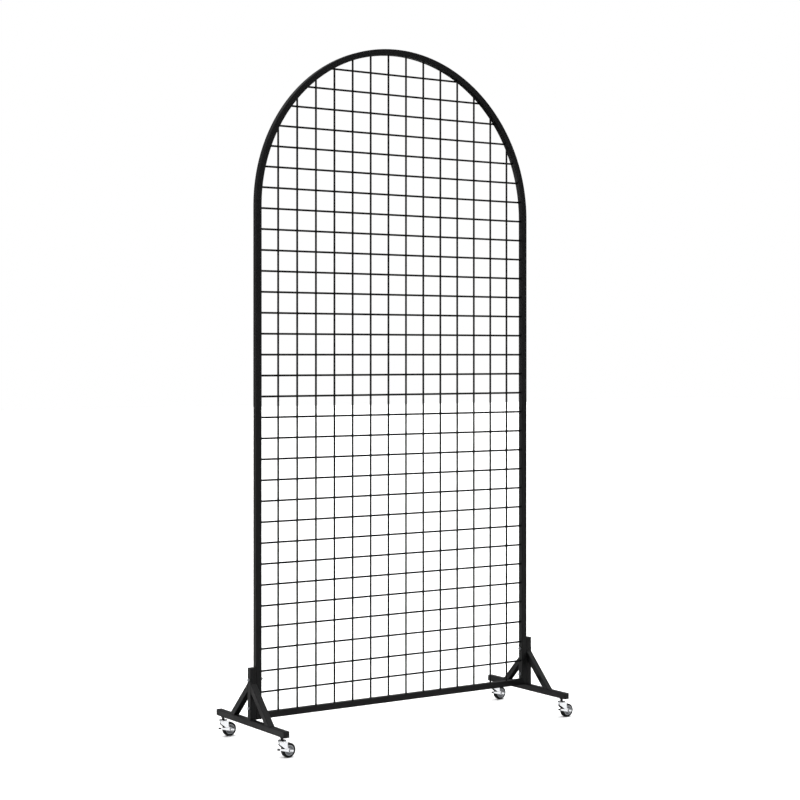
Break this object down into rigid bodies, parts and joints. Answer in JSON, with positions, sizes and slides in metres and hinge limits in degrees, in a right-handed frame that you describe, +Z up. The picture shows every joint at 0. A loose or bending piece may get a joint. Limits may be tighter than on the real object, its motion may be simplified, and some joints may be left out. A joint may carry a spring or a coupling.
{
  "type": "arched grid display panel on casters",
  "caption": "Round-topped wire-grid panel in a square-tube frame, standing on two braced feet that roll on swivel casters with side brakes.",
  "frame": {"origin": "on the floor, under the middle of the panel", "axes": "+Z up along the panel's height, X along its width, -Y towards its front, where the brake levers are"},
  "size_m": [1.0817, 0.399, 2.0794],
  "materials": {
    "black_frame": "satin black powder coat",
    "black_wire": "satin black powder coat",
    "black_cap": "matt moulded polyethylene",
    "zinc_fastener": "bright zinc plate",
    "black_steel": "black oxide",
    "bearing_steel": "polished",
    "chrome": "bright nickel-chrome plate",
    "grey_hub": "moulded polypropylene",
    "black_rubber": "moulded rubber"
  },
  "bodies": {
    "root": {"left_side_tube": "black_frame", "right_side_tube": "black_frame", "arch_tube": "black_frame", "bottom_rail": "black_frame", "vertical_wires": "black_wire", "horizontal_wires": "black_wire", "left_foot_bar": "black_frame", "left_foot_upright": "black_frame", "left_foot_front_brace": "black_frame", "left_foot_rear_brace": "black_frame", "right_foot_bar": "black_frame", "right_foot_upright": "black_frame", "right_foot_front_brace": "black_frame", "right_foot_rear_brace": "black_frame", "left_foot_front_cap": "black_cap", "left_foot_rear_cap": "black_cap", "left_foot_upright_cap": "black_cap", "right_foot_front_cap": "black_cap", "right_foot_rear_cap": "black_cap", "right_foot_upright_cap": "black_cap", "frame_bolts": "zinc_fastener", "frame_nuts": "zinc_fastener", "frame_washers": "zinc_fastener", "stem_nuts": "zinc_fastener", "caster_balls": "bearing_steel", "left_front_stem": "black_steel", "left_front_cup": "chrome", "left_rear_stem": "black_steel", "left_rear_cup": "chrome", "right_front_stem": "black_steel", "right_front_cup": "chrome", "right_rear_stem": "black_steel", "right_rear_cup": "chrome"},
    "left_front_swivel": {"left_front_fork": "chrome", "left_front_axle": "chrome"},
    "left_front_wheel": {"left_front_hub": "grey_hub", "left_front_tyre": "black_rubber"},
    "left_front_brake": {"left_front_brake_lever": "chrome", "left_front_brake_knob": "black_cap"},
    "left_rear_swivel": {"left_rear_fork": "chrome", "left_rear_axle": "chrome"},
    "left_rear_wheel": {"left_rear_hub": "grey_hub", "left_rear_tyre": "black_rubber"},
    "left_rear_brake": {"left_rear_brake_lever": "chrome", "left_rear_brake_knob": "black_cap"},
    "right_front_swivel": {"right_front_fork": "chrome", "right_front_axle": "chrome"},
    "right_front_wheel": {"right_front_hub": "grey_hub", "right_front_tyre": "black_rubber"},
    "right_front_brake": {"right_front_brake_lever": "chrome", "right_front_brake_knob": "black_cap"},
    "right_rear_swivel": {"right_rear_fork": "chrome", "right_rear_axle": "chrome"},
    "right_rear_wheel": {"right_rear_hub": "grey_hub", "right_rear_tyre": "black_rubber"},
    "right_rear_brake": {"right_rear_brake_lever": "chrome", "right_rear_brake_knob": "black_cap"}
  },
  "joints": [
    {"name": "left_front_swivel_turn", "type": "hinge", "parent": "root", "child": "left_front_swivel", "pos_m": [-0.5095, -0.174, 0.046], "axis": [0, 0, 1], "continuous": true},
    {"name": "left_front_wheel_spin", "type": "hinge", "parent": "left_front_swivel", "child": "left_front_wheel", "pos_m": [-0.4895, -0.174, 0.021], "axis": [0, 1, 0], "continuous": true},
    {"name": "left_front_brake_press", "type": "hinge", "parent": "left_front_swivel", "child": "left_front_brake", "pos_m": [-0.4895, -0.186, 0.021], "axis": [0, -1, 0], "range_deg": [0, 22]},
    {"name": "left_rear_swivel_turn", "type": "hinge", "parent": "root", "child": "left_rear_swivel", "pos_m": [-0.5095, 0.174, 0.046], "axis": [0, 0, 1], "continuous": true},
    {"name": "left_rear_wheel_spin", "type": "hinge", "parent": "left_rear_swivel", "child": "left_rear_wheel", "pos_m": [-0.4895, 0.174, 0.021], "axis": [0, 1, 0], "continuous": true},
    {"name": "left_rear_brake_press", "type": "hinge", "parent": "left_rear_swivel", "child": "left_rear_brake", "pos_m": [-0.4895, 0.162, 0.021], "axis": [0, -1, 0], "range_deg": [0, 22]},
    {"name": "right_front_swivel_turn", "type": "hinge", "parent": "root", "child": "right_front_swivel", "pos_m": [0.5095, -0.174, 0.046], "axis": [0, 0, 1], "continuous": true},
    {"name": "right_front_wheel_spin", "type": "hinge", "parent": "right_front_swivel", "child": "right_front_wheel", "pos_m": [0.5295, -0.174, 0.021], "axis": [0, 1, 0], "continuous": true},
    {"name": "right_front_brake_press", "type": "hinge", "parent": "right_front_swivel", "child": "right_front_brake", "pos_m": [0.5295, -0.186, 0.021], "axis": [0, -1, 0], "range_deg": [0, 22]},
    {"name": "right_rear_swivel_turn", "type": "hinge", "parent": "root", "child": "right_rear_swivel", "pos_m": [0.5095, 0.174, 0.046], "axis": [0, 0, 1], "continuous": true},
    {"name": "right_rear_wheel_spin", "type": "hinge", "parent": "right_rear_swivel", "child": "right_rear_wheel", "pos_m": [0.5295, 0.174, 0.021], "axis": [0, 1, 0], "continuous": true},
    {"name": "right_rear_brake_press", "type": "hinge", "parent": "right_rear_swivel", "child": "right_rear_brake", "pos_m": [0.5295, 0.162, 0.021], "axis": [0, -1, 0], "range_deg": [0, 22]}
  ]
}
